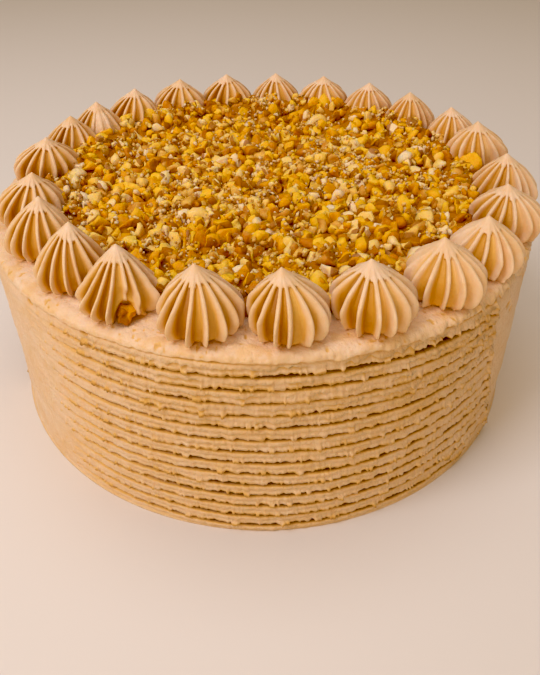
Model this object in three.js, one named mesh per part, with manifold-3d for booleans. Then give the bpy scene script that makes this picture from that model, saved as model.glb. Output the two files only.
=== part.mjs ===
// Carrot cake: a round cake coated in buttercream that was combed round its side, with a ring of
// piped rosettes on the rim, a heap of chopped walnuts inside the ring, and one stray piece of
// walnut caught under a rosette. Millimetres, +Z up. The origin is the centre of the underside,
// and -Y is the front. Angles are in degrees, anticlockwise from +X seen from above.

import * as THREE from 'three';
import { mergeVertices } from 'three/addons/utils/BufferGeometryUtils.js';
import Module from 'manifold-3d';

// Coated cake body
const BASE_RADIUS = 123;
const RIM_RADIUS = 118.5;
const CAKE_HEIGHT = 86.5;
const SHOULDER_WIDTH = 3.5;
const SHOULDER_DROP = 0.3;
const LIP_DROP = 1.1;
const WALL_INSET = 0.65;
const WALL_SWELL = 0.35;
const BODY_SEGMENTS = 60;

// Comb marks: level grooves one below another, with a shingle-like ridge between two grooves. The
// comb was pulled round in separate strokes that start lightly, bite deeper and end abruptly, and
// between two strokes the wall is smooth.
const GROOVE_COUNT = 15;
const GROOVE_PITCH = 5.73;
const TOP_GROOVE_HEIGHT = 84.2;
const GROOVE_DEPTH = 2.0;
const STROKE_COUNT = 3;
const STROKE_START = -132;
const STROKE_SPAN = 87;
const STROKE_FADE = 30;
const STROKE_LIGHTEST = 0.2;
const CREST_PLACE = 0.78;
const RIDGE_WANDER = 0.35;

// Torn crack in the second groove, at the front right
const CRACK_ANGLE = -65;
const CRACK_HALF_ANGLE = 20;
const CRACK_DEPTH = 2.2;

// Piped rosettes: gap from each rosette to the next one, clockwise, as the hand placed them. The
// outline is pairs of radius and height, as shares of the rosette's own.
const ROSETTE_GAPS = [
  17, 14, 15, 14, 22, 15, 11, 14, 16, 16, 16, 15, 15, 15, 17, 12, 20, 16, 17, 14, 17, 16, 16,
];
const ROSETTE_WIDTHS = [
  29.6, 29.2, 27, 26.4, 27.6, 29, 28, 26.6, 28, 29, 29, 29, 28.6, 28.6, 28, 26.6, 28, 28.6, 29, 27.2,
  29, 28.8, 27.6,
];
const FIRST_ROSETTE_ANGLE = 257;
const RING_RADIUS = 102.4;
const RING_CENTRE = new THREE.Vector2(2.6, -1.5);
const ROSETTE_HEIGHT = 20.8;
const ROSETTE_HEIGHT_SPREAD = 0.03;
const ROSETTE_RIDGES = 14;
const ROSETTE_OUTLINE = [[0, 0], [0.82, 0], [1, 0.22], [0.94, 0.45], [0.7, 0.65], [0.3, 0.84], [0, 1]];
const VALLEY_AT_FOOT = 0.25;
const VALLEY_AT_TIP = 0.14;
const APEX_PULL_IN = 3.2;
const APEX_LEAN = 0.9;

// Chopped walnuts
const HEAP_HEIGHT = 5.8;
const HEAP_RINGS = 11;
const HEAP_BUMP = 1.1;
const HEAP_EDGE_DROP = 1.2;
const HEAP_CLEARANCE = 1;
const HEAP_STOP = 8;
const PIECE_COUNT = 58;
const PIECE_SIZE_LARGE = 9.5;
const PIECE_SIZE_SMALL = 6.5;
const PIECE_LEAST_WIDTH = 0.62;
const PIECE_MOST_WIDTH = 0.88;
const PIECE_THICKNESS = 0.62;
const PIECE_ROUGHNESS = 0.3;
const PIECE_LIFT = 0.12;
const STRAY_ANGLE = -114.5;
const STRAY_DISTANCE = 108.4;
const STRAY_SIZE = new THREE.Vector3(7.6, 6.4, 6.2);
const NEST_LENGTH = 9;

// Clear space between two pieces that touch in the real cake
const GAP = 0.3;

const DEGREE = Math.PI / 180;
const FULL_TURN = 2 * Math.PI;
const GOLDEN_ANGLE = Math.PI * (3 - Math.sqrt(5));
const TOP_LEVEL = CAKE_HEIGHT + GAP;

const frosting = new THREE.MeshStandardMaterial({ color: 0xe0b27a, roughness: 0.55, metalness: 0 });
const piping = new THREE.MeshStandardMaterial({ color: 0xe6ba84, roughness: 0.5, metalness: 0 });
const walnut = new THREE.MeshStandardMaterial({ color: 0xd09a35, roughness: 0.6, metalness: 0 });

const wasm = await Module();
wasm.setup();

// Repeatable random numbers from 0 to 1, one run of them for each seed
function randomSource(seed) {
  let state = seed;
  return () => {
    state = (state + 0x6d2b79f5) | 0;
    let mixed = Math.imul(state ^ (state >>> 15), 1 | state);
    mixed = (mixed + Math.imul(mixed ^ (mixed >>> 7), 61 | mixed)) ^ mixed;
    return ((mixed ^ (mixed >>> 14)) >>> 0) / 4294967296;
  };
}

// Only positions, with shared corners merged, so that a closed surface is closed by its indices
function weld(geometry) {
  const bare = geometry.clone();
  bare.deleteAttribute('normal');
  bare.deleteAttribute('uv');
  return mergeVertices(bare, 1e-4);
}

function toSolid(geometry) {
  const welded = weld(geometry);
  return new wasm.Manifold(new wasm.Mesh({
    numProp: 3,
    vertProperties: new Float32Array(welded.attributes.position.array),
    triVerts: new Uint32Array(welded.index.array),
  }));
}

function toGeometry(solid) {
  const mesh = solid.getMesh();
  const geometry = new THREE.BufferGeometry();
  geometry.setAttribute('position', new THREE.BufferAttribute(mesh.vertProperties, 3));
  geometry.setIndex(new THREE.BufferAttribute(mesh.triVerts, 1));
  geometry.computeVertexNormals();
  return geometry;
}

// Moves every vertex of a geometry by a function that changes the point it is given
function reshape(geometry, move) {
  const position = geometry.attributes.position;
  const point = new THREE.Vector3();
  for (let i = 0; i < position.count; i += 1) {
    point.fromBufferAttribute(position, i);
    move(point);
    position.setXYZ(i, point.x, point.y, point.z);
  }
  geometry.computeVertexNormals();
  return geometry;
}

// A profile of [radius, height] pairs turned round the Z axis
function turned(profile, segments) {
  const points = profile.map(([radius, height]) => new THREE.Vector2(radius, height));
  return new THREE.LatheGeometry(points, segments).rotateX(Math.PI / 2);
}

// 1 at the middle of a span of angles, falling smoothly to 0 at its ends
function angleWindow(angle, middle, half) {
  const away = Math.abs(((angle - middle + 540) % 360) - 180);
  return away < half ? 0.5 + 0.5 * Math.cos((Math.PI * away) / half) : 0;
}

// How hard the comb bites at an angle: 0 between strokes, 1 where a stroke is at its deepest
function combBite(angle) {
  const period = 360 / STROKE_COUNT;
  const along = (((angle - STROKE_START) % period) + period) % period;
  const deepening = THREE.MathUtils.smoothstep(along, 0, STROKE_FADE);
  return along < STROKE_SPAN ? THREE.MathUtils.lerp(STROKE_LIGHTEST, 1, deepening) : 0;
}

// Comb profile down the side: from a groove the frosting swells slowly out to a crest, then cuts
// sharply back to the next groove. The whole wall leans in from foot to rim.
function sideRadius(angle, height) {
  const wall = THREE.MathUtils.lerp(BASE_RADIUS, RIM_RADIUS, height / CAKE_HEIGHT);
  const drop = (TOP_GROOVE_HEIGHT - height) / GROOVE_PITCH;
  const step = drop - Math.floor(drop);
  const swell = step < CREST_PLACE ? step / CREST_PLACE : (1 - step) / (1 - CREST_PLACE);
  const relief = GROOVE_DEPTH * combBite(angle) * (1 - swell);
  const crackHere = Math.abs(drop - 1) < 0.1 ? angleWindow(angle, CRACK_ANGLE, CRACK_HALF_ANGLE) : 0;
  return wall - relief - CRACK_DEPTH * crackHere;
}

// The side is never quite round or even: long soft swells, and a small wander on each ridge
function wander(angle, height) {
  const turn = angle * DEGREE;
  const swells = Math.sin(3 * turn + height / 30) + Math.sin(7 * turn - height / 17);
  const ripple = Math.sin(23 * turn + height * 1.7) * Math.cos(11 * turn - height * 2.3);
  return WALL_SWELL * swells + RIDGE_WANDER * ripple - WALL_INSET;
}

function cakeBody() {
  const profile = [[0, 0], [BASE_RADIUS, 0]];
  for (let groove = GROOVE_COUNT - 1; groove >= 0; groove -= 1) {
    const height = TOP_GROOVE_HEIGHT - groove * GROOVE_PITCH;
    profile.push([BASE_RADIUS, height]);
    if (groove > 0) {
      profile.push([BASE_RADIUS, height + (1 - CREST_PLACE) * GROOVE_PITCH]);
    }
  }
  profile.push([RIM_RADIUS, CAKE_HEIGHT - LIP_DROP], [RIM_RADIUS - LIP_DROP, CAKE_HEIGHT - SHOULDER_DROP]);
  profile.push([RIM_RADIUS - SHOULDER_WIDTH, CAKE_HEIGHT], [0, CAKE_HEIGHT]);

  return reshape(turned(profile, BODY_SEGMENTS), (point) => {
    const radius = Math.hypot(point.x, point.y);
    const isCombed = point.z > 0 && point.z < TOP_GROOVE_HEIGHT + GAP;
    if (!isCombed) {
      return;
    }
    const angle = Math.atan2(point.y, point.x) / DEGREE;
    const scale = (sideRadius(angle, point.z) + wander(angle, point.z)) / radius;
    point.x *= scale;
    point.y *= scale;
  });
}

function towards(turn) {
  return new THREE.Vector2(Math.cos(turn), Math.sin(turn));
}

// Where each rosette stands, how large it is, how it is turned, and how far its tip leans: the
// nozzle was drawn off inwards, and never quite the same way twice
function rosettePlaces() {
  const rosettes = [];
  let angle = FIRST_ROSETTE_ANGLE;
  ROSETTE_GAPS.forEach((gap, index) => {
    const outward = towards(angle * DEGREE);
    const turn = index * GOLDEN_ANGLE;
    rosettes.push({
      centre: outward.clone().multiplyScalar(RING_RADIUS).add(RING_CENTRE),
      radius: ROSETTE_WIDTHS[index] / 2,
      height: ROSETTE_HEIGHT * (1 + ROSETTE_HEIGHT_SPREAD * Math.sin(3 * turn)),
      turn,
      lean: towards(2 * turn).multiplyScalar(APEX_LEAN).addScaledVector(outward, -APEX_PULL_IN),
    });
    angle -= gap;
  });
  return rosettes;
}

// One rosette: a bulb with pointed top and tucked-in foot, whose ridges run from foot to tip. It
// is pressed flat against its two neighbours.
function rosette(places, index) {
  const { centre, radius, height, turn, lean } = places[index];
  const segments = 2 * ROSETTE_RIDGES;
  const neighbours = [-1, 1].map((side) => {
    const other = places[(index + side + places.length) % places.length];
    const across = other.centre.clone().sub(centre);
    return { direction: across.clone().normalize(), reach: across.length() / 2 - GAP / 2 };
  });

  return reshape(turned(ROSETTE_OUTLINE, segments), (point) => {
    const share = Math.hypot(point.x, point.y);
    const around = Math.atan2(point.y, point.x);
    const isValley = Math.round((around / FULL_TURN) * segments) % 2 !== 0;
    const out = towards(around + turn);
    const shift = lean.clone().multiplyScalar(point.z ** 2);
    let reach = share * radius;
    if (isValley) {
      reach *= 1 - THREE.MathUtils.lerp(VALLEY_AT_FOOT, VALLEY_AT_TIP, point.z);
    }
    for (const neighbour of neighbours) {
      const facing = out.dot(neighbour.direction);
      if (facing > 0.01) {
        reach = Math.min(reach, (neighbour.reach - shift.dot(neighbour.direction)) / facing);
      }
    }
    const place = centre.clone().add(shift).addScaledVector(out, reach);
    point.set(place.x, place.y, TOP_LEVEL + point.z * height);
  });
}

// How far the heap reaches at an angle before it meets a rosette
function heapEdge(places, turn) {
  const out = towards(turn);
  const reaches = places.map(({ centre, radius }) => {
    const along = centre.dot(out);
    const aside = Math.abs(centre.cross(out));
    const clear = radius + HEAP_CLEARANCE;
    return along > 0 && aside < clear ? along - Math.sqrt(clear ** 2 - aside ** 2) : RING_RADIUS;
  });
  return Math.min(...reaches, RING_RADIUS - HEAP_STOP);
}

// A lumpy disc out to the rosettes. Ring k has 6k points, so the lumps are of one size all over.
function heapCore(places) {
  const random = randomSource(29);
  const points = [[0, 0, TOP_LEVEL + HEAP_HEIGHT]];
  const firstOfRing = (ring) => (ring === 0 ? 0 : 1 + 3 * ring * (ring - 1));
  const onRing = (ring, step) => firstOfRing(ring) + (ring === 0 ? 0 : step % (6 * ring));
  for (let ring = 1; ring <= HEAP_RINGS; ring += 1) {
    for (let step = 0; step < 6 * ring; step += 1) {
      const turn = (step / (6 * ring)) * FULL_TURN;
      const reach = heapEdge(places, turn) * (ring / HEAP_RINGS);
      const edgeDrop = ring === HEAP_RINGS ? HEAP_EDGE_DROP : 0;
      const lump = HEAP_BUMP * (2 * random() - 1);
      const height = TOP_LEVEL + HEAP_HEIGHT - edgeDrop + lump;
      points.push([reach * Math.cos(turn), reach * Math.sin(turn), height]);
    }
  }
  const faces = [];
  for (let ring = 1; ring <= HEAP_RINGS; ring += 1) {
    for (let sector = 0; sector < 6; sector += 1) {
      for (let k = 0; k < ring; k += 1) {
        const outer = sector * ring + k;
        const inner = sector * (ring - 1) + k;
        faces.push(onRing(ring - 1, inner), onRing(ring, outer), onRing(ring, outer + 1));
        if (k < ring - 1) {
          faces.push(onRing(ring - 1, inner), onRing(ring, outer + 1), onRing(ring - 1, inner + 1));
        }
      }
    }
  }
  const rimCount = 6 * HEAP_RINGS;
  const rimStart = firstOfRing(HEAP_RINGS);
  const footStart = points.length;
  for (let step = 0; step < rimCount; step += 1) {
    const [x, y] = points[rimStart + step];
    points.push([x, y, TOP_LEVEL]);
  }
  const footCentre = points.length;
  points.push([0, 0, TOP_LEVEL]);
  for (let step = 0; step < rimCount; step += 1) {
    const next = (step + 1) % rimCount;
    const rim = rimStart + step;
    const foot = footStart + step;
    faces.push(rim, foot, footStart + next, rim, footStart + next, rimStart + next);
    faces.push(footCentre, footStart + next, foot);
  }
  const geometry = new THREE.BufferGeometry();
  geometry.setAttribute('position', new THREE.Float32BufferAttribute(points.flat(), 3));
  geometry.setIndex(faces);
  return geometry;
}

// A chopped piece of walnut: an angular lump with uneven sides
function walnutPiece(size, random) {
  const lump = weld(new THREE.IcosahedronGeometry(0.5, 0));
  const swing = new THREE.Euler(random() * FULL_TURN, random() * FULL_TURN, random() * FULL_TURN);
  reshape(lump, (point) => {
    point.multiplyScalar(1 + PIECE_ROUGHNESS * (random() - 0.5)).applyEuler(swing).multiply(size);
  });
  return lump.rotateZ(random() * FULL_TURN);
}

// The heap: the lumpy core with the largest pieces fused on, spread evenly by the golden angle. A
// piece that lies over a hollow of the core and touches nothing is dropped.
function walnutTopping(places) {
  const random = randomSource(47);
  const solids = [toSolid(heapCore(places))];
  for (let i = 0; i < PIECE_COUNT; i += 1) {
    const turn = i * GOLDEN_ANGLE + random() / ROSETTE_GAPS.length;
    const length = THREE.MathUtils.lerp(PIECE_SIZE_SMALL, PIECE_SIZE_LARGE, random() ** 1.5);
    const width = length * THREE.MathUtils.lerp(PIECE_LEAST_WIDTH, PIECE_MOST_WIDTH, random());
    const size = new THREE.Vector3(length, width, length * PIECE_THICKNESS);
    const furthest = heapEdge(places, turn) - length * PIECE_THICKNESS;
    const distance = furthest * Math.sqrt((i + 0.5) / PIECE_COUNT);
    const lift = TOP_LEVEL + HEAP_HEIGHT + PIECE_LIFT * length;
    const piece = walnutPiece(size, random);
    piece.translate(distance * Math.cos(turn), distance * Math.sin(turn), lift);
    solids.push(toSolid(piece));
  }
  const bodies = wasm.Manifold.union(solids).decompose();
  bodies.sort((a, b) => b.volume() - a.volume());
  return toGeometry(bodies[0]);
}

// The stray piece, set down on the cake
function strayWalnut(margin) {
  const random = randomSource(5);
  const size = STRAY_SIZE.clone().addScalar(2 * margin);
  const piece = walnutPiece(size, random);
  piece.computeBoundingBox();
  const turn = STRAY_ANGLE * DEGREE;
  const lowest = TOP_LEVEL - margin;
  piece.translate(
    STRAY_DISTANCE * Math.cos(turn),
    STRAY_DISTANCE * Math.sin(turn),
    lowest - piece.boundingBox.min.z,
  );
  return piece;
}

// The nest that the stray piece keeps open in its rosette: the piece with a margin all round, drawn
// outwards through the rosette's foot
function strayNest() {
  const nut = toSolid(strayWalnut(2 * GAP));
  const outward = towards(STRAY_ANGLE * DEGREE).multiplyScalar(NEST_LENGTH);
  return wasm.Manifold.hull([nut, nut.translate([outward.x, outward.y, 0])]);
}

function addPiece(group, name, geometry, material) {
  const mesh = new THREE.Mesh(geometry, material);
  mesh.name = name;
  group.add(mesh);
}

const cake = new THREE.Group();
addPiece(cake, 'cake', cakeBody(), frosting);

const places = rosettePlaces();
const nestedRosette = 1;
places.forEach((place, index) => {
  let shape = rosette(places, index);
  if (index === nestedRosette) {
    shape = toGeometry(toSolid(shape).subtract(strayNest()));
  }
  addPiece(cake, `rosette_${String(index + 1).padStart(2, '0')}`, shape, piping);
});

addPiece(cake, 'walnut_topping', walnutTopping(places), walnut);
addPiece(cake, 'stray_walnut', strayWalnut(0), walnut);

export default cake;
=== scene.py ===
import math

import bmesh
import bpy
import numpy as np
from mathutils import Matrix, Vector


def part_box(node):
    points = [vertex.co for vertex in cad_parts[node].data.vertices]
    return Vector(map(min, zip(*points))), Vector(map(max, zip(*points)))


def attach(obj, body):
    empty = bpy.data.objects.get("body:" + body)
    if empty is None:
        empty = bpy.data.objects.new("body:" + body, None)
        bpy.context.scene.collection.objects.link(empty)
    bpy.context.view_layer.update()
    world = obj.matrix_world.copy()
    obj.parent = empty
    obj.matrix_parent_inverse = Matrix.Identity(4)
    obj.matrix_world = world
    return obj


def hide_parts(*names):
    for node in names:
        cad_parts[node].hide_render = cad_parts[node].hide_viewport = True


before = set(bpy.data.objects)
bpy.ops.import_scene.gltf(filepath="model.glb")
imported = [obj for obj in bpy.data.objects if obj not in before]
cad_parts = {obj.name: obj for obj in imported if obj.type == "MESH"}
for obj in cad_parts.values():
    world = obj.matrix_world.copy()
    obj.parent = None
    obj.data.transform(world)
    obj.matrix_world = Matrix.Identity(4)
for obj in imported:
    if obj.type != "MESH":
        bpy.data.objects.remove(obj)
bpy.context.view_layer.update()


# Combed wall of the cake
# The sides are coated in beige buttercream, and a comb with level teeth was pulled round them in
# separate strokes. Under each tooth a groove is cut, and the frosting pushed up between two grooves
# hangs over the next one as a thin torn lip.

# Lengths are in mm and angles in degrees, anticlockwise from the right. The front is at -90.
MM = 0.001
CAKE_HEIGHT = float(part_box("cake")[1][2]) / MM
BASE_RADIUS = 123.0
RIM_RADIUS = 118.5
SHOULDER_FROM = 77.0
SHOULDER_DROP = 2.0

GROOVES = 15
PITCH = 5.73
TOP_GROOVE = 84.2
GROOVE_DEPTH = 2.0

# The comb's strokes: how many, the first one's start and span, how much shorter the others are, over
# what angles the comb sinks in and touches down, how lightly it starts, how much further round each
# lower ridge goes, and over what angle the comb lifts off
STROKE_COUNT = 3
STROKE_START = -132.0
STROKE_SPAN = 87.0
BACK_SHORTER = 8.0
STROKE_FADE = 38.0
STROKE_TOUCH = 3.0
STROKE_LIGHTEST = 0.2
STROKE_SLANT = 0.85
STROKE_STOP = 0.6

# The rough tear where the comb left the wall: how far before the end its middle is, and half width
TEAR_BEFORE_END = 1.2
TEAR_HALF_ANGLE = 2.5

# A crack in the second groove, and where it gapes widest: angle and half width of each place
CRACK_RIDGE = 1.0
CRACK_ANGLE = -73.0
CRACK_HALF_ANGLE = 27.0
CRACK_DEPTH = 3.8
CRACK_HOLES = [(-76.0, 5.0), (-59.5, 2.2), (-51.5, 1.6)]

# The front has finer columns than the back
FRONT_FROM, FRONT_TO = -155.0, -25.0
FRONT_COLUMNS = 920
BACK_COLUMNS = 560


def lattice(cell, seed):
    """One repeatable number from 0 to 1 for each whole-number point, by mixing its bits."""
    mixed = cell[..., 0] * 374761393 + cell[..., 1] * 668265263 + cell[..., 2] * 2147483647
    mixed = (mixed + seed * 1274126177) & 0xFFFFFFFF
    mixed = ((mixed ^ (mixed >> 13)) * 1274126177) & 0xFFFFFFFF
    mixed = ((mixed ^ (mixed >> 15)) * 2246822519) & 0xFFFFFFFF
    return ((mixed ^ (mixed >> 16)) & 0xFFFF) / 65535.0


def noise(points, size, seed):
    """Smooth noise from -1 to 1 in space. The lattice numbers at a cell's eight corners are blended
    by the smoothstep of the place in the cell. size is the cell in mm, one number or one per axis."""
    cell = points / np.asarray(size, dtype=float)
    base = np.floor(cell).astype(np.int64)
    place = cell - base
    place = place * place * (3 - 2 * place)
    total = np.zeros(points.shape[:-1])
    for corner in np.ndindex(2, 2, 2):
        share = np.prod(np.where(corner, place, 1 - place), axis=-1)
        total += share * lattice(base + np.array(corner), seed)
    return 2 * total - 1


def smoothstep(value, low, high):
    """0 below low, 1 above high, and 3t^2 - 2t^3 between them."""
    t = np.clip((value - low) / (high - low), 0, 1)
    return t * t * (3 - 2 * t)


def angle_window(angle, middle, half):
    """1 at the middle angle, falling as a raised cosine to 0 at half a width away, in degrees."""
    away = np.abs((angle - middle + 540) % 360 - 180)
    return np.where(away < half, 0.5 + 0.5 * np.cos(math.pi * away / half), 0.0)


def comb_bite(angle, ridge):
    """How hard the comb bites: 0 between strokes, light where a stroke starts, then 1 to its end,
    which lies a little further round from each ridge to the one below. Also how near the tear at
    the end is, from 0 to 1."""
    along = (angle - STROKE_START) % (360 / STROKE_COUNT)
    behind = (angle - STROKE_START) % 360 > 360 / STROKE_COUNT
    span = STROKE_SPAN - BACK_SHORTER * behind + STROKE_SLANT * ridge
    deep = STROKE_LIGHTEST + (1 - STROKE_LIGHTEST) * smoothstep(along, 0, STROKE_FADE)
    end = 1 - smoothstep(along, span - STROKE_STOP, span)
    start = smoothstep(along, 0, STROKE_TOUCH)
    return deep * start * end, angle_window(along, span - TEAR_BEFORE_END, TEAR_HALF_ANGLE)


def wall_radius(height):
    """The wall's radius in mm at a height: it leans in evenly and rounds over at the shoulder."""
    rounded = np.clip((height - SHOULDER_FROM) / (CAKE_HEIGHT - SHOULDER_FROM), 0, 1)
    leaning = BASE_RADIUS + (RIM_RADIUS - BASE_RADIUS) * height / CAKE_HEIGHT
    return leaning - SHOULDER_DROP * rounded**2.2


def make_piece(name, points, faces, values, smooth=True):
    """A mesh object. points are in mm, faces is a list of arrays of corner numbers, and values
    gives one number per point for each named attribute."""
    mesh = bpy.data.meshes.new(name)
    corners = np.concatenate([face.ravel() for face in faces]).astype(np.int32)
    sizes = np.concatenate([np.full(len(face), face.shape[1]) for face in faces])
    starts = np.concatenate([[0], np.cumsum(sizes)[:-1]]).astype(np.int32)
    mesh.vertices.add(len(points))
    mesh.vertices.foreach_set("co", (np.asarray(points) * MM).astype(np.float32).ravel())
    mesh.loops.add(len(corners))
    mesh.loops.foreach_set("vertex_index", corners)
    mesh.polygons.add(len(sizes))
    mesh.polygons.foreach_set("loop_start", starts)
    mesh.update(calc_edges=True)
    mesh.validate()
    for key, numbers in values.items():
        layer = mesh.attributes.new(key, "FLOAT", "POINT")
        layer.data.foreach_set("value", np.asarray(numbers, dtype=np.float32).ravel())
    if smooth:
        mesh.shade_smooth()
    piece = bpy.data.objects.new(name, mesh)
    bpy.context.scene.collection.objects.link(piece)
    return piece


def ring_faces(rows, columns):
    """Quads between rows of a grid whose columns close into rings, turned outwards for rows that
    run down the side, and a fan of triangles from each end row to a pole after the last row."""
    row = np.arange(rows - 1)[:, None] * columns
    around = np.arange(columns)
    onward = (around + 1) % columns
    quads = np.stack([row + around, row + columns + around, row + columns + onward, row + onward], -1)
    top_pole = rows * columns
    low = (rows - 1) * columns
    top_fan = np.stack([np.full(columns, top_pole), around, onward], -1)
    low_fan = np.stack([np.full(columns, top_pole + 1), low + onward, low + around], -1)
    return [quads.reshape(-1, 4), np.concatenate([top_fan, low_fan])]


def turned_piece(name, angle, radius, height, values):
    """A closed body from rows of rings, top row first: each point is at an angle, a radius and a
    height, and the two poles are at the mean height of the end rows."""
    across = np.stack([radius * np.cos(angle), radius * np.sin(angle), height], -1)
    rows, columns = radius.shape
    poles = np.array([[0, 0, height[0].mean()], [0, 0, height[-1].mean()]])
    points = np.concatenate([across.reshape(-1, 3), poles])
    padded = {key: np.concatenate([number.ravel(), [0, 0]]) for key, number in values.items()}
    return make_piece(name, points, ring_faces(rows, columns), padded)


front_angles = np.linspace(FRONT_FROM, FRONT_TO, FRONT_COLUMNS, endpoint=False)
back_angles = np.linspace(FRONT_TO, FRONT_FROM + 360, BACK_COLUMNS, endpoint=False)
column_angles = np.concatenate([front_angles, back_angles])

# The rows of one ridge, from the shelf under a groove down to the next groove: how far down each is in
# pitches, the same where the wall is smooth, how far out of the groove it stands as a share of the
# groove's depth, how far it follows the torn lip down and out, and how much painted shade it gets, most
# deep in the groove.
# The shelf is the first three rows, and rows 4 and 5 are the edge of a torn film.
RIDGE_STEPS = np.array([0.0, 0.03, 0.12, 0.22, 0.40, 0.43, 0.62, 0.78, 0.77, 0.77, 0.97])
PLAIN_STEPS = np.array([0.0, 0.09, 0.18, 0.30, 0.42, 0.53, 0.62, 0.71, 0.80, 0.89, 0.95])
RIDGE_REACH = np.array([0.10, 0.55, 0.74, 0.86, 0.99, 0.90, 1.0, 1.05, 0.70, 0.12, 0.0])
LIP_SHARE = np.array([0.0, 0.0, 0.0, 0.1, 0.4, 0.5, 0.8, 1.0, 1.0, 0.9, 0.0])
LIP_BULGE = np.array([0.0, 0.0, 0.0, 0.0, 0.1, 0.1, 0.6, 1.0, 0.8, 0.1, 0.0])
GROOVE_SHADE = np.array([1.0, 0.95, 0.62, 0.16, 0.03, 0.36, 0.0, 0.16, 0.7, 1.0, 1.0])
SHELF_ROWS = 3
FILM_TOP, FILM_FOOT = 4, 5

# How far in the smooth wall lies, sizes of the wall's unevenness, and how far apart in the noise two
# neighbouring ridges are read
SMOOTH_WALL_INSET = 0.7
LIP_DRIP = 0.7
FILM_WAVE = 1.1
WRINKLE = 0.14
SCORE = 0.16
RIDGE_APART = 29.0

# Crumbs that the comb rolled up where it touched down: their middle and half width round the wall
CRUMB_ANGLE = -120.0
CRUMB_HALF_ANGLE = 19.0
CRUMB_BULGE = 1.1

# Places where a tooth tore the frosting: angle, height, width and depth of each
PITS = [
    (-132, 86.0, 4.0, 1.2), (-135.4, 82.5, 4.5, 1.4), (-121, 83.3, 3.4, 1.6), (-115.6, 78.2, 2.4, 1.8),
    (-114.9, 72.4, 2.2, 1.6), (-122, 55.5, 2.6, 1.5), (-38, 73.3, 4.0, 1.6), (-29.5, 76.8, 4.0, 2.2),
    (-59, 78.6, 3.6, 2.0), (-41, 84.0, 3.4, 1.6), (-35, 67.5, 3.6, 1.5), (-33, 81.0, 3.0, 1.5),
]


def torn_edge(along, ridge, length, seed):
    """A lip's torn edge as a saw from 0 to 1: along the ridge each length hangs lower and lower, then
    snaps back up where the frosting broke off. About half of the lengths don't hang."""
    spot = np.stack([along, ridge * 13.0, 0 * along], -1)
    place = along / length + 0.8 * noise(spot, 1.7 * length, seed) + ridge * 0.61
    cell = np.floor(place)
    share = place - cell
    key = np.stack([cell, ridge, 0 * cell], -1).astype(np.int64)
    size = np.clip(lattice(key, seed) * 1.9 - 0.9, 0, 1)
    return size * share**1.4 * (1 - smoothstep(share, 0.92, 1.0))


def torn_flaps(along, ridge, rightward, low):
    """How far the lips' torn edges hang in mm: a sum of three saws, with short flaps mostly near the
    top, long ones mostly low down and on the left, and small crowded ones on the right."""
    short = 1.1 * torn_edge(along, ridge, 6.0, 5) * (1 - 0.6 * low)
    long = 1.5 * torn_edge(along, ridge, 14.0, 6) * (0.3 + 0.7 * low) * (1 - 0.5 * rightward)
    crowded = 1.3 * torn_edge(along, ridge, 4.2, 16) * rightward * (0.35 + 0.65 * low)
    return short + long + crowded


def crack_gape(angle, ridges_down, ring):
    """How wide the crack gapes, 0 away from its groove: a ragged band that thins out to its ends
    and is widest at its holes."""
    near = smoothstep(-np.abs(ridges_down - CRACK_RIDGE), -0.27, -0.05)
    length = angle_window(angle, CRACK_ANGLE, CRACK_HALF_ANGLE) ** 0.35
    ragged = smoothstep(noise(ring * [1, 1, 0], 4.5, 11) + 0.35 * noise(ring, 1.6, 15), -0.15, 0.35)
    for hole_angle, hole_half in CRACK_HOLES:
        ragged = np.maximum(ragged, 1.5 * angle_window(angle, hole_angle, hole_half) ** 0.4)
    return length * (0.2 + 0.7 * ragged) * near


def pit_shares(angle, height, spot):
    """For each pit its depth, and 1 in its ragged oval middle falling to 0 at its edge."""
    for pit_angle, pit_height, pit_width, pit_depth in PITS:
        aside = (angle - pit_angle) * math.radians(BASE_RADIUS) / (0.56 * pit_width)
        below = (height - pit_height) / (0.42 * pit_width)
        beyond = np.hypot(aside, below) + 0.5 * noise(spot, 1.4, 36)
        yield pit_depth, smoothstep(-beyond, -1.15, -0.5)


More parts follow.
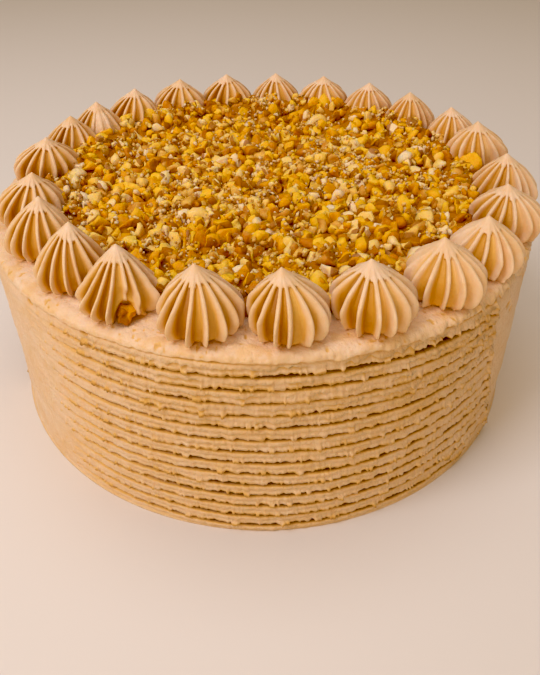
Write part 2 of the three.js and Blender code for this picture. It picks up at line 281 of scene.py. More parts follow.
def wall_rows(first_ridge, last_ridge):
    """The combed wall's rings from one ridge to another, top row first: the leaning wall, less the
    groove's depth where the comb bit, with the lip's torn waves and drips along the ridge. Where the comb
    didn't bite, the wall is smooth. Returns angle, radius, height and the painted shade, deepest in the
    grooves, the crack and the pits, with a tint on lips, drips and crumbs."""
    ridge = np.repeat(np.arange(first_ridge, last_ridge), len(RIDGE_STEPS))[:, None].astype(float)
    row = np.tile(np.arange(len(RIDGE_STEPS)), last_ridge - first_ridge)[:, None]
    ridge_step, plain_step, reach, lip, bulge, shade = (
        column[row] for column in
        (RIDGE_STEPS, PLAIN_STEPS, RIDGE_REACH, LIP_SHARE, LIP_BULGE, GROOVE_SHADE))
    angle = np.broadcast_to(column_angles[None, :], (len(ridge), len(column_angles)))
    turn = np.radians(angle)
    ridge = ridge + 0 * angle
    bite, leaving = comb_bite(angle, ridge)
    low = smoothstep(ridge, 3, 9)
    topmost = (ridge == 0) & (row < 2)
    reach = np.where(topmost, 0.8, reach)
    shade = np.where(topmost, 0.15, shade)

    # What is read from noise at ring is the same for all rows of a ridge, so they move together
    along = BASE_RADIUS * turn
    east, north = BASE_RADIUS * np.cos(turn), BASE_RADIUS * np.sin(turn)
    ring = np.stack([east, north, ridge * RIDGE_APART], -1)
    gaping = crack_gape(angle, ridge + ridge_step, ring)

    # How far the lip's edge hangs, and where a torn film stands off the ridge
    fine = 0.26 * noise(ring, 3.4, 1) + 0.42 * noise(ring, 1.5, 2) + 0.26 * noise(ring, 0.8, 33)
    crumbly = 0.6 + 0.6 * smoothstep(noise(ring, 14.0, 13), -0.4, 0.5)
    drip = smoothstep(noise(ring, 2.4, 4) + 0.5 * noise(ring, 1.0, 34), 0.42, 0.72)
    golden = smoothstep(noise(ring, 5.0, 35), -0.3, 0.35)
    flap = torn_flaps(along, ridge, smoothstep(angle, -104, -72), low)
    sag = 0.5 - 0.75 * low + 0.3 * noise(ring, 30.0, 7)
    hang = sag + fine * crumbly + flap + LIP_DRIP * drip - 1.4 * gaping
    film = smoothstep(noise(ring, 6.0, 24), -0.5, 0.0) * (1 - 0.8 * smoothstep(ridge, 3, 8))
    film_wave = FILM_WAVE * (0.7 * noise(ring, 4.0, 25) + 0.8 * noise(ring, 1.6, 26))
    at_film = (row == FILM_TOP) | (row == FILM_FOOT)

    step = plain_step + (ridge_step - plain_step) * smoothstep(bite, 0, 0.5)
    height = TOP_GROOVE - (ridge + step) * PITCH
    height = height - bite * (lip * hang + at_film * film_wave * film + 0.9 * gaping * (row < SHELF_ROWS))

    # The radius where the comb bit, and where the wall stayed smooth
    wall = wall_radius(height)
    swell = 0.35 * (np.sin(3 * turn + height / 30) + np.sin(7 * turn - height / 17)) - 0.65
    spot = np.stack([east, north, height], -1)
    ragged = 0.25 * noise(ring + 5, 2.6, 8) + 0.28 * noise(ring, 1.1, 27) + 0.9 * drip + 0.4 * flap
    streak = noise(spot, [0.8, 0.8, 5.0], 9)
    lumps = 0.28 * noise(ring, 11.0, 14) + 0.22 * noise(spot, 4.0, 10) + 0.16 * noise(spot, 1.8, 28)
    wrinkle = WRINKLE * streak + lumps
    out_of_film = (row == FILM_TOP) * 1.0 - (row == FILM_FOOT) * 0.4
    edge = film * (0.5 + 0.3 * noise(ring, 3.0, 17)) * out_of_film
    combed = wall + swell - GROOVE_DEPTH * (1 - reach) + bulge * ragged + wrinkle + edge
    scored = noise(np.stack([along / 16, height, 0 * along], -1), 1.3, 18)
    plain = wall + swell - SMOOTH_WALL_INSET + 0.15 * noise(spot, [9, 9, 5], 12) + 0.4 * wrinkle
    plain = plain + SCORE * scored
    radius = plain + (combed - plain) * bite
    radius = radius + leaving * (0.35 + 1.3 * noise(spot, [2.2, 2.2, 1.7], 30))

    # Crumbs, the crack and the pits
    crumbly_start = angle_window(angle, CRUMB_ANGLE, CRUMB_HALF_ANGLE) ** 0.6
    crumb = smoothstep(noise(ring, 1.5, 37), 0.3, 0.55) * crumbly_start * bulge
    radius = radius + CRUMB_BULGE * crumb - gaping * CRACK_DEPTH
    # torn is 1 in the pits' middles, which get painted shade below, as the crack does
    torn = 0 * radius
    for depth, pit in pit_shares(angle, height, spot):
        radius = radius - 0.7 * depth * pit
        torn = np.maximum(torn, pit)

    # Painted shade, deepest in the grooves, under the films' edges, in the crack and in the pits: drips,
    # lips and crumbs are a little deeper in colour too
    film_shade = np.where(at_film, film, 1.0)
    edging = bulge * (0.25 * drip + 0.24 * golden)
    hollow = bite * (shade * film_shade + edging) + 1.2 * gaping + 0.55 * torn + 0.55 * crumb
    return turn, radius, height, np.clip(hollow, 0, 1)


def stacked(*parts):
    """Rings of several surfaces one under another, each part a tuple of arrays."""
    return [np.concatenate(arrays) for arrays in zip(*parts)]


def level_ring(radius, height, hollow=0.0):
    """A plain ring of one radius and height, in the same form as the rings of the wall."""
    turn = np.radians(column_angles)[None, :]
    return turn, np.full_like(turn, radius), np.full_like(turn, height), np.full_like(turn, hollow)


FOOT_TOP = 1.2
rim = level_ring(RIM_RADIUS - 8, TOP_GROOVE + 1.0)
# The foot, with a little painted shade where it meets the floor
foot = stacked(level_ring(BASE_RADIUS - 1.1, 0.9, 0.2), level_ring(BASE_RADIUS - 0.7, 0.4, 0.1),
               level_ring(BASE_RADIUS - 0.6, 0.0, 0.1))
THIRD = GROOVES // 3
bands = [wall_rows(first, first + THIRD) for first in (0, THIRD, 2 * THIRD)]
above_foot = bands[2][2].mean(axis=1) > FOOT_TOP
bands[2] = [array[above_foot] for array in bands[2]]
joins = [[array[:1] for array in band] for band in bands[1:]]
closed_bands = {
    "upper": stacked(rim, bands[0], joins[0]),
    "middle": stacked(bands[1], joins[1]),
    "lower": stacked(bands[2], foot),
}
walls = []
for name, (turn, radius, height, hollow) in closed_bands.items():
    walls.append(turned_piece(f"combed_wall_{name}", turn, radius, height, {"hollow": hollow}))


# The finish is brown-sugar buttercream: beige, softly shining, with a fine beaten grain and tiny air
# holes. Shade is painted into its folds as a darker, deeper ochre.
class Sock:
    """One output of a shader node, which adds, subtracts and multiplies like a number."""

    def __init__(self, finish, link):
        self.finish = finish
        self.link = link

    def _math(self, operation, first, second):
        return self.finish.node("ShaderNodeMath", {"operation": operation}, {0: first, 1: second})

    def __add__(self, other):
        return self._math("ADD", self, other)

    def __sub__(self, other):
        return self._math("SUBTRACT", self, other)

    def __rsub__(self, other):
        return self._math("SUBTRACT", other, self)

    def __mul__(self, other):
        return self._math("MULTIPLY", self, other)

    __radd__ = __add__
    __rmul__ = __mul__


class Finish:
    """A material in the making, with one method that adds any node."""

    def __init__(self, name):
        self.material = bpy.data.materials.new(name)
        self.material.use_nodes = True
        self.tree = self.material.node_tree
        self.tree.nodes.clear()

    def node(self, kind, settings, inputs, output=0):
        """A node of a kind: its settings first, then the values or links of its sockets."""
        made = self.tree.nodes.new(kind)
        for key, value in settings.items():
            if key == "stops":
                self._set_stops(made.color_ramp, value)
            else:
                setattr(made, key, value)
        for key, value in inputs.items():
            if isinstance(value, Sock):
                self.tree.links.new(value.link, made.inputs[key])
            else:
                made.inputs[key].default_value = value
        return Sock(self, made.outputs[output]) if len(made.outputs) else None

    def _set_stops(self, ramp, stops):
        """Stops of a colour ramp: pairs of a place from 0 to 1 and a colour."""
        while len(ramp.elements) < len(stops):
            ramp.elements.new(1.0)
        for element, (place, colour) in zip(ramp.elements, stops):
            element.position = place
            element.color = (*colour, 1.0)

    def texture(self, kind, scale, **inputs):
        """A texture in object space, whose features are about 1 / scale metres across."""
        place = self.node("ShaderNodeTexCoord", {}, {}, "Object")
        return self.node(kind, {}, {"Vector": place, "Scale": scale, **inputs})

    def attribute(self, name):
        return self.node("ShaderNodeAttribute", {"attribute_name": name}, {}, "Fac")

    def mix(self, factor, first, second):
        """The first colour where factor is 0, the second where it is 1."""
        return self.node("ShaderNodeMix", {"data_type": "RGBA"}, {0: factor, 6: first, 7: second}, 2)

    def ramp(self, factor, stops):
        return self.node("ShaderNodeValToRGB", {"stops": stops}, {"Fac": factor})

    def bump(self, height, distance):
        inputs = {"Height": height, "Distance": distance, "Strength": 1.0}
        return self.node("ShaderNodeBump", {}, inputs)

    def surface(self, **inputs):
        """The principled shader with these inputs, joined to the output."""
        keys = {key.replace("_", " "): value for key, value in inputs.items()}
        shader = self.node("ShaderNodeBsdfPrincipled", {}, keys)
        self.node("ShaderNodeOutputMaterial", {}, {"Surface": shader})
        return self.material


def rgb(red, green, blue):
    """A colour as an opaque shader value, from linear parts."""
    return (red, green, blue, 1.0)


CREAM = rgb(0.82, 0.59, 0.385)
CREAM_WARM = rgb(0.77, 0.49, 0.235)
# Painted shade colours for the wall's grooves, lips and crack and for the rosettes' flutes, from none to
# the deepest
GROOVE_SHADE_COLOURS = [(0.0, (0.82, 0.55, 0.31)), (0.32, (0.74, 0.42, 0.11)), (0.62, (0.50, 0.25, 0.05)),
                (1.0, (0.17, 0.055, 0.01))]
FLUTE_SHADE_COLOURS = [(0.0, (0.82, 0.54, 0.28)), (0.3, (0.74, 0.42, 0.095)), (0.62, (0.56, 0.26, 0.018)),
               (1.0, (0.34, 0.12, 0.008))]


def buttercream(name, stops, grain, curd):
    """Buttercream with shade painted into its folds in the colours of the stops, and a fine grain and
    coarser curds of given heights in metres."""
    finish = Finish(name)
    cloud = finish.texture("ShaderNodeTexNoise", 60.0, Detail=4.0, Roughness=0.65)
    beaten = finish.texture("ShaderNodeTexNoise", 900.0, Detail=4.0, Roughness=0.6)
    curds = finish.texture("ShaderNodeTexNoise", 330.0, Detail=3.0, Roughness=0.6)
    pores = finish.texture("ShaderNodeTexVoronoi", 420.0)
    fold_shade_and_tint = finish.attribute("hollow")
    patch = finish.node("ShaderNodeMapRange", {},
                        {"Value": cloud + curds * 0.6, "From Min": 0.58, "From Max": 1.0})
    base = finish.mix(patch, CREAM, CREAM_WARM)
    # Painted shade: the cream turns to the stops' shade colours as the attribute rises to 0.3
    tint = finish.ramp(fold_shade_and_tint, stops)
    in_shade = finish.ramp(fold_shade_and_tint, [(0.0, (0, 0, 0)), (0.3, (1, 1, 1))])
    colour = finish.mix(in_shade, base, tint)
    holes = finish.node("ShaderNodeMapRange", {"interpolation_type": "SMOOTHSTEP"},
                        {"Value": pores, "From Min": 0.02, "From Max": 0.16})
    height = (beaten + holes * 0.5) * grain + curds * curd
    return finish.surface(
        Base_Color=colour,
        Roughness=0.42 + beaten * 0.2,
        Normal=finish.bump(height, 1.0),
        Subsurface_Weight=0.12,
        Subsurface_Radius=(1.0, 0.5, 0.2),
        Subsurface_Scale=0.004,
        Specular_IOR_Level=0.4,
    )


wall_cream = buttercream("buttercream_wall", GROOVE_SHADE_COLOURS, 0.0002, 0.0007)
for wall in walls:
    wall.data.materials.append(wall_cream)
    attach(wall, "root")
    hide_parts("cake")


# Top coat
# The buttercream on top was smoothed flat with a knife, and its edge stands out over the first comb
# mark as a rough lip. Most of it is under the walnuts, and the band outside the rosettes shows.

TOP_STEP = 0.66
BAND_START = 80.0
BAND_END = 113.6
FLAT_TO = 1.7

# Where the lip is torn most, at the right front: angle and half width
TORN_RIM_ANGLE = -48.0
TORN_RIM_HALF = 34.0


def top_coat():
    """Rings from the middle of the top out over the lip and back under it, at a radius and a drop
    below the top. The band rolls softly, with scratches along the knife's path round the cake and
    small pits, and the lip waves and drips."""
    inner = np.array([10.0, 40.0, 68.0])
    band = np.arange(BAND_START, BAND_END, TOP_STEP)
    shoulder = np.array([114.2, 115.0, 115.7, 116.3, 116.8, 117.15, 117.4, 117.4, 117.0, 115.8, 100.0])
    sink = np.array([0.06, 0.20, 0.42, 0.75, 1.15, 1.65, 2.3, 2.8, 3.05, 3.2, 4.0])
    plain = np.concatenate([inner, band, shoulder])[:, None]
    drop = np.concatenate([np.zeros(len(inner) + len(band)), sink])[:, None]
    angle = np.broadcast_to(column_angles[None, :], (len(plain), len(column_angles)))
    turn = np.radians(angle)
    spot = np.stack([plain * np.cos(turn), plain * np.sin(turn), 0 * turn], -1)
    ring = np.stack([BASE_RADIUS * np.cos(turn), BASE_RADIUS * np.sin(turn), 0 * turn - RIDGE_APART], -1)
    lip = smoothstep(plain, 115.8, 117.3) * (drop < 3.15)
    drip = np.clip(noise(ring, 5.0, 14) - 0.4, 0, 1)
    wave = 0.5 * noise(ring, 8.0, 11) + 0.4 * noise(ring, 3.5, 12)
    scratch = np.stack([plain + 0 * turn, BASE_RADIUS * turn / 14, 0 * turn], -1)
    pitted = smoothstep(noise(spot, 1.5, 19), 0.45, 0.75) * smoothstep(noise(spot, 9.0, 20), -0.2, 0.4)
    roll = 0.28 * noise(spot, 15.0, 13) + 0.16 * noise(spot, 4.0, 15) + 0.16 * noise(scratch, 0.9, 16)
    roll = roll - 0.3 * pitted
    height = CAKE_HEIGHT - drop + roll * (drop < FLAT_TO)
    torn = 1 + 1.5 * angle_window(angle, TORN_RIM_ANGLE, TORN_RIM_HALF)
    height = height - lip * torn * (0.4 * wave + 0.35 * noise(ring, 1.7, 21) + 1.3 * drip)
    ragged = 0.35 * noise(ring, 2.8, 17) + 0.2 * noise(ring, 1.3, 22) + 0.7 * drip
    radius = plain + lip * torn * ragged
    mottled = smoothstep(noise(spot, 6.0, 37) + 0.6 * noise(spot, 2.0, 38), 0.0, 0.8)
    # Painted shade under the lip and in the band's small pits, with a little random mottle
    shade = np.clip((drop - 2.6) / 0.5, 0, 1) * 0.5
    hollow = shade + (0.35 * pitted + 0.2 * mottled) * (drop < FLAT_TO)
    return turn, radius, height, hollow


turn, radius, height, hollow = top_coat()
top = turned_piece("top_coat", turn, radius, height, {"hollow": hollow})
top.data.materials.append(wall_cream)
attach(top, "root")
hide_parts("cake")


# Rosettes
# Each rosette was pressed out of an open star nozzle held upright: a bulb with deep flutes between
# thin ridges, tucked in at its foot, and pulled up to a point as the nozzle left. Neighbours were
# piped close enough to press against each other.

# Clockwise from the one left of the middle at the front: angles to the next one, and widths
ROSETTE_GAPS = [
    17, 14, 15, 14, 22, 15, 11, 14, 16, 16, 16, 15, 15, 15, 17, 12, 20, 16, 17, 14, 17, 16, 16,
]
ROSETTE_WIDTHS = np.array([
    29.6, 29.2, 27, 26.4, 27.6, 29, 28, 26.6, 28, 29, 29, 29, 28.6, 28.6, 28, 26.6, 28, 28.6, 29, 27.2,
    29, 28.8, 27.6,
])
FIRST_ROSETTE = 257.0
RING_RADIUS = 102.4
RING_CENTRE = np.array([2.6, -1.5])
ROSETTE_HEIGHT = 20.8
HEIGHT_SPREAD = 0.03
RIDGES = 14
APEX_PULL_IN = 3.2
APEX_LEAN = 0.9
STEPS_PER_RIDGE = 14
ROSETTE_ROWS = 58
FLUTE_DEPTH = 0.32
NEIGHBOUR_GAP = 0.1
ROSETTE_CLEAR = 0.3
GOLDEN_ANGLE = math.pi * (3 - math.sqrt(5))

# Rosettes whose tips were drawn off another way than most: how far right and back, in mm
TIPS_DRAWN_OFF = {0: (-1.4, 4.2), 1: (0.6, 4.2), 2: (1.8, 3.6), 19: (-1.6, 1.6), 20: (-2.6, 3.4),
                  21: (-2.2, 3.4), 22: (-2.7, 3.6)}

rosette_turns = np.radians(FIRST_ROSETTE - np.concatenate([[0], np.cumsum(ROSETTE_GAPS)[:-1]]))
outwards = np.stack([np.cos(rosette_turns), np.sin(rosette_turns)], -1)
rosette_centres = RING_RADIUS * outwards + RING_CENTRE
rosette_radii = ROSETTE_WIDTHS / 2
rosette_spins = np.arange(len(ROSETTE_GAPS)) * GOLDEN_ANGLE
rosette_heights = ROSETTE_HEIGHT * (1 + HEIGHT_SPREAD * np.sin(3 * rosette_spins))
rosette_leans = APEX_LEAN * np.stack([np.cos(2 * rosette_spins), np.sin(2 * rosette_spins)], -1)
rosette_leans = rosette_leans - APEX_PULL_IN * outwards
for leaning, towards in TIPS_DRAWN_OFF.items():
    rosette_leans[leaning] = towards

# Outline of the bulb from foot to tip, as shares of its radius and height
OUTLINE = np.array([
    [0.64, -0.03], [0.71, 0.0], [0.87, 0.07], [0.97, 0.17], [1.0, 0.27], [0.985, 0.37], [0.92, 0.47],
    [0.815, 0.565], [0.68, 0.655], [0.53, 0.735], [0.385, 0.80], [0.265, 0.86], [0.165, 0.91],
    [0.085, 0.955], [0.03, 0.985], [0.0, 1.0],
])

# Rosettes with rounder or more pointed sides than most
FULLNESS = {0: -0.35, 1: -1.1, 2: -0.7, 20: 0.2, 21: 0.3, 22: 0.2}

# Where a nozzle brushed over a rosette and smeared its ridges: rosette, direction and half width
SMEARS = {19: (165, 75), 20: (160, 80), 3: (20, 60), 7: (300, 60)}

# The piece of walnut under the second rosette, whose ridges part round it
NUT_ROSETTE = 1
NUT_ANGLE = -114.5
NUT_DISTANCE = 108.4
NUT_HALF_WIDTH = 4.0
NUT_HEIGHT = 6.3


def smooth_line(knots, count):
    """count points evenly along a Catmull-Rom curve through the knots."""
    ends = np.concatenate([[2 * knots[0] - knots[1]], knots, [2 * knots[-1] - knots[-2]]])
    t = np.linspace(0, 1, 24, endpoint=False)[None, :, None]
    a, b, c, d = (ends[i:len(ends) - 3 + i, None, :] for i in range(4))
    square, cube = 2 * a - 5 * b + 4 * c - d, 3 * b - a - 3 * c + d
    curve = 0.5 * (2 * b + (c - a) * t + square * t**2 + cube * t**3)
    curve = np.concatenate([curve.reshape(-1, knots.shape[1]), knots[-1:]])
    along = np.concatenate([[0], np.cumsum(np.linalg.norm(np.diff(curve, axis=0), axis=1))])
    even = np.linspace(0, along[-1], count)
    return np.stack([np.interp(even, along, column) for column in curve.T], -1)


def soft_least(first, second, soft):
    """The smaller of two arrays, with a round blend as wide as soft where they cross."""
    blend = np.clip(0.5 + 0.5 * (second - first) / soft, 0, 1)
    return second * (1 - blend) + first * blend - soft * blend * (1 - blend)


def around_nut(centre, out, reach, height):
    """Parts the foot round the piece of walnut: in front of it the frosting stops short behind the
    piece, and round it the ridges flatten and end in a rolled edge."""
    turn = math.radians(NUT_ANGLE)
    place = NUT_DISTANCE * np.array([math.cos(turn), math.sin(turn)]) - centre
    distance = np.linalg.norm(place)
    facing = out @ (place / distance)
    aside = reach * np.sqrt(np.clip(1 - facing**2, 0, 1))
    arch = np.hypot(aside / NUT_HALF_WIDTH, height / NUT_HEIGHT)
    level_out = distance + 1.2 - 0.75 * np.maximum(height - 3.0, 0)
    near = smoothstep(-arch, -1.9, -1.15) * (facing > 0) * 0.9
    reach = reach + near * (level_out - reach)
    inside = smoothstep(-arch, -1.1, -0.9) * (facing > 0)
    rolled = np.exp(-((arch - 1.22) / 0.15) ** 2) * (facing > 0) * 0.8
    return reach + rolled - inside * np.maximum(reach - (distance - 3.4), 0)


def rosette(index):
    """A rosette as rings from tip to foot. The radius is the outline's, less the depth of a flute that is
    cusped at each ridge and round between ridges. The flutes start with round ends under a smooth cone,
    and the frosting stops short of the plane midway to each neighbour. Returns plan, height and the
    painted shade of the flutes, deeper in flutes that face left and less on the rosettes to the right."""
    random = np.random.default_rng(100 + index)
    centre, radius, spin = rosette_centres[index], rosette_radii[index], rosette_spins[index]
    twist = random.uniform(-0.3, 0.3)

    # The outline from the tip down, and each point's way across its ridge or flute
    line = smooth_line(OUTLINE, ROSETTE_ROWS)[::-1]
    share, level = line[:-1, 0][:, None].copy(), line[:-1, 1][:, None].copy()
    fullness = FULLNESS.get(index, random.uniform(-0.6, 0.3))
    share = share + fullness * 0.16 * smoothstep(level, 0.2, 0.5) * smoothstep(-level, -0.95, -0.55)
    within = np.arange(-STEPS_PER_RIDGE // 2, STEPS_PER_RIDGE // 2) / STEPS_PER_RIDGE
    within = (np.sign(within) * np.abs(2 * within) ** 1.15 / 2)[None, :]
    ridge = np.arange(RIDGES)[:, None]
    shift = random.uniform(-0.2, 0.2, RIDGES)[:, None] * (1 - np.abs(2 * within))
    phase = ((ridge + within + shift) / RIDGES * 2 * math.pi).ravel()[None, :]
    aside = np.tile(np.abs(within), (RIDGES, 1)).ravel()[None, :]
    ridge_half = 0.03 + 0.08 * smoothstep(level, 0.3, 0.8)
    valley = smoothstep(aside - ridge_half, 0, 0.23)
    growth = np.repeat(random.uniform(-0.05, 0.05, RIDGES), STEPS_PER_RIDGE)[None, :] * (1 - valley)
    start = np.repeat(random.uniform(-0.03, 0.03, RIDGES), STEPS_PER_RIDGE)[None, :]

    # How deep the flutes are: none at the tip, less at the foot, inside the ring and where smeared
    angle = phase + spin + twist * (level - 0.3) + 0 * share
    out = np.stack([np.cos(angle), np.sin(angle)], -1)
    fluted = smoothstep(-level - start - 0.07 * (1 - valley) ** 1.5, -0.84, -0.77)
    faint = 0.18 * smoothstep(-level, -0.95, -0.84)
    fluted = np.maximum(fluted, faint) * (1 - 0.45 * smoothstep(-level, -0.2, 0.0))
    inner = np.clip(-(out @ outwards[index]), 0, 1)
    fluted = fluted * (1 - 0.25 * inner**2)
    if index in SMEARS:
        middle, half = SMEARS[index]
        fluted = fluted * (1 - 0.75 * angle_window(np.degrees(angle), middle, half) ** 0.6)

    # The radius, with small lumps and a torn foot
    flat = np.stack([np.cos(angle) * 9, np.sin(angle) * 9, level * 12 + index * 40 + 0 * angle], -1)
    uneven = 0.022 * noise(flat, 6.0, 21) + (0.006 + 0.016 * (1 - valley)) * noise(flat, 1.5, 22)
    reach = radius * share * (1 - FLUTE_DEPTH * fluted * valley + growth * fluted + uneven)
    tear = smoothstep(-level, -0.14, -0.02) * (1 - valley)
    reach = reach + tear * (0.5 + 1.6 * noise(flat, 1.7, 23))

    # The lean towards the tip, and the room up to each neighbour
    slide = rosette_leans[index] * (np.clip(level, 0, 1) ** 2)[..., None]
    for side in (-1, 1):
        across = rosette_centres[(index + side) % len(rosette_centres)] - centre
        distance = np.linalg.norm(across)
        facing = out @ (across / distance)
        free = distance / 2 - NEIGHBOUR_GAP - slide @ (across / distance)
        limit = np.where(facing > 0.05, free / np.maximum(facing, 0.05), 99.0)
        reach = soft_least(reach, limit, 0.9)
    height = level * rosette_heights[index] + 0 * reach
    if index == NUT_ROSETTE:
        reach = around_nut(centre, out, reach, height)
    plan = centre + slide + out * reach[..., None]

    # Painted shade in the flutes, deeper in flutes that face left and less on the rosettes to the right
    left_side_shade = 0.36 + 0.64 * smoothstep(-out[..., 0], -0.3, 0.5)
    left_side_shade = left_side_shade * (1 - 0.4 * smoothstep(centre[0], 15.0, 60.0))
    hollow = 0.92 * left_side_shade * smoothstep(valley * fluted, 0.12, 0.8)
    return plan, CAKE_HEIGHT + ROSETTE_CLEAR + height, hollow


def rosette_piece(index, plan, height, hollow):
    """The rosette's mesh, closed by a pole at its tip and one under its foot."""
    across = np.concatenate([plan, height[..., None]], -1)
    tip = across[0].mean(axis=0) + [0, 0, 0.1]
    sole = across[-1].mean(axis=0)
    points = np.concatenate([across.reshape(-1, 3), [tip, sole]])
    rows, columns = height.shape
    shade = np.concatenate([hollow.ravel(), [0, 0]])
    name = f"piped_rosette_{index + 1:02d}"
    return make_piece(name, points, ring_faces(rows, columns), {"hollow": shade})


piped_cream = buttercream("buttercream_piped", FLUTE_SHADE_COLOURS, 0.00012, 0.0002)
for index in range(len(ROSETTE_GAPS)):
    piece = rosette_piece(index, *rosette(index))
    piece.data.materials.append(piped_cream)
    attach(piece, "root")
    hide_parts(f"rosette_{index + 1:02d}")


# Chopped walnuts
# Walnut halves chopped with a knife: big angular chunks with pale yellow flesh, amber and brown
# bits of skin, and crumbs and dust between and on top of them. They are heaped loose inside the
# ring of rosettes.

HEAP_HEIGHT = 5.4
BANK_HEIGHT = 4.8
BANK_FROM, BANK_TO = 66.0, 92.0
CORE_ROWS = 70
CORE_COLUMNS = 420
CORE_BELOW = 2.2


def heap_edge(turn):
    """How far the heap reaches at each angle before it meets a rosette: the ray's first crossing
    of a rosette's circle, which is smaller at the height that the heap has against it."""
    out = np.stack([np.cos(turn), np.sin(turn)], -1)
    along = out @ rosette_centres.T
    aside = np.abs(out[..., 0:1] * rosette_centres[:, 1] - out[..., 1:2] * rosette_centres[:, 0])
    clear = rosette_radii * (0.93 - 0.2 * bank(turn))[..., None]
    hit = (along > 0) & (aside < clear)
    reach = along - np.sqrt(np.maximum(clear**2 - aside**2, 0))
    return np.minimum(np.where(hit, reach, 99.0).min(axis=-1), RING_RADIUS - 5.0)


def bank(turn):
    """1 at the back, where the nuts were pushed up against the rosettes, and less at the front."""
    return 0.25 + 0.75 * smoothstep(np.sin(turn - 0.1), -0.3, 0.6)


def heap_height(place):
    """The heap's height over the cake: nearly level in the middle, higher against the rosettes."""
    turn = np.arctan2(place[..., 1], place[..., 0])
    distance = np.hypot(place[..., 0], place[..., 1])
    flat = np.stack([place[..., 0], place[..., 1], 0 * distance], -1)
    banked = BANK_HEIGHT * bank(turn) * smoothstep(distance, BANK_FROM, BANK_TO)
    return HEAP_HEIGHT + banked + 0.8 * noise(flat, 24.0, 40)


def lump_base(detail):
    """Corners and triangles of an icosahedron whose faces are divided detail times."""
    shape = bmesh.new()
    bmesh.ops.create_icosphere(shape, subdivisions=detail, radius=0.5)
    corners = np.array([vertex.co[:] for vertex in shape.verts])
    faces = np.array([[vertex.index for vertex in face.verts] for face in shape.faces])
    shape.free()
    return corners, faces


def random_turns(random, count):
    """count even random rotations, from quaternions of unit length."""
    q = random.normal(size=(count, 4))
    w, x, y, z = (q / np.linalg.norm(q, axis=1, keepdims=True)).T
    rows = [[1 - 2 * (y * y + z * z), 2 * (x * y - z * w), 2 * (x * z + y * w)],
            [2 * (x * y + z * w), 1 - 2 * (x * x + z * z), 2 * (y * z - x * w)],
            [2 * (x * z - y * w), 2 * (y * z + x * w), 1 - 2 * (x * x + y * y)]]
    return np.moveaxis(np.array(rows), -1, 0)


def chopped(random, sizes, detail, cuts, roughness):
    """Chopped lumps of the given lengths in mm: each starts as a ball, every point beyond one of
    its random planes is moved back onto that plane, as a knife would cut it, and small noise
    roughens it. Returns points by lump, faces of one lump, and how much of its skin a point keeps."""
    corners, faces = lump_base(detail)
    count = len(sizes)
    points = np.broadcast_to(corners[None], (count, *corners.shape)).copy()
    normals = random.normal(size=(count, cuts, 3))
    normals /= np.linalg.norm(normals, axis=-1, keepdims=True)
    offsets = random.uniform(0.15, 0.40, size=(count, cuts))
    for cut in range(cuts):
        normal = normals[:, cut]
        beyond = np.einsum("ijk,ik->ij", points, normal) - offsets[:, cut:cut + 1]
        points -= np.maximum(beyond, 0)[..., None] * normal[:, None, :]
    seeds = np.arange(count)[:, None, None] * 7.0
    points += roughness * noise(points + seeds, 0.22, 31)[..., None] * corners[None] * 2
    stretch = np.stack([np.ones(count), random.uniform(0.65, 1.0, count),
                        random.uniform(0.5, 0.85, count)], -1)
    skin_way = random.normal(size=(count, 3))
    skin_way /= np.linalg.norm(skin_way, axis=-1, keepdims=True)
    skin = np.einsum("ijk,ik->ij", points, skin_way) + 0.06 * noise(points + seeds, 0.3, 32)
    points = points * stretch[:, None, :]
    span = (points.max(axis=1) - points.min(axis=1)).max(axis=1)
    points = points * (np.asarray(sizes) / span)[:, None, None]
    points = np.einsum("ijk,ilk->ijl", points, random_turns(random, count))
    return points, faces, skin


def scattered(name, points, faces, values):
    """One mesh of all lumps, whose faces are repeated for each."""
    count, corners = points.shape[:2]
    all_faces = faces[None] + (np.arange(count) * corners)[:, None, None]
    return make_piece(name, points.reshape(-1, 3), [all_faces.reshape(-1, 3)], values, smooth=False)


def spread_places(random, count, evenness):
    """count places on the heap: a golden-angle spiral out to its edge, with random shifts."""
    order = (np.arange(count) + 0.5) / count
    turn = np.arange(count) * math.pi * (3 - math.sqrt(5)) + random.uniform(-0.1, 0.1, count)
    distance = np.sqrt(order) * (heap_edge(turn) - 1.0)
    place = np.stack([distance * np.cos(turn), distance * np.sin(turn)], -1)
    place += random.normal(size=place.shape) * evenness
    turn = np.arctan2(place[:, 1], place[:, 0])
    limit = heap_edge(turn) - 1.0
    distance = np.linalg.norm(place, axis=1)
    return place * np.minimum(1, limit / np.maximum(distance, 1e-6))[:, None]


class HeightMap:
    """The highest point of the heap in each square of a millimetre."""

    def __init__(self):
        self.half = 110
        self.grid = np.full((2 * self.half, 2 * self.half), CAKE_HEIGHT + ROSETTE_CLEAR)

    def _cells(self, points):
        """The column and the row of each point's square."""
        cells = np.clip(points[..., :2].astype(int) + self.half, 0, 2 * self.half - 1)
        return cells[..., 0].ravel(), cells[..., 1].ravel()

    def add(self, points):
        np.maximum.at(self.grid, self._cells(points), points[..., 2].ravel())

    def at(self, places):
        return self.grid[self._cells(places)]


def heap_core():
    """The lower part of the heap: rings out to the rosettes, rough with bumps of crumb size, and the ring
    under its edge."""
    shares = np.linspace(1.0, 0.02, CORE_ROWS)[:, None]
    turn = np.radians(np.linspace(0, 360, CORE_COLUMNS, endpoint=False))[None, :]
    reach = heap_edge(turn[0])[None, :] * shares
    spot = np.stack([reach * np.cos(turn), reach * np.sin(turn), 0 * reach], -1)
    bumps = 1.2 * noise(spot, 6.5, 41) + 0.9 * noise(spot, 2.6, 42) + 0.5 * noise(spot, 1.2, 43)
    height = CAKE_HEIGHT + heap_height(spot) - CORE_BELOW + bumps
    wall = heap_edge(turn[0])[None, :]
    return turn, reach, height, wall


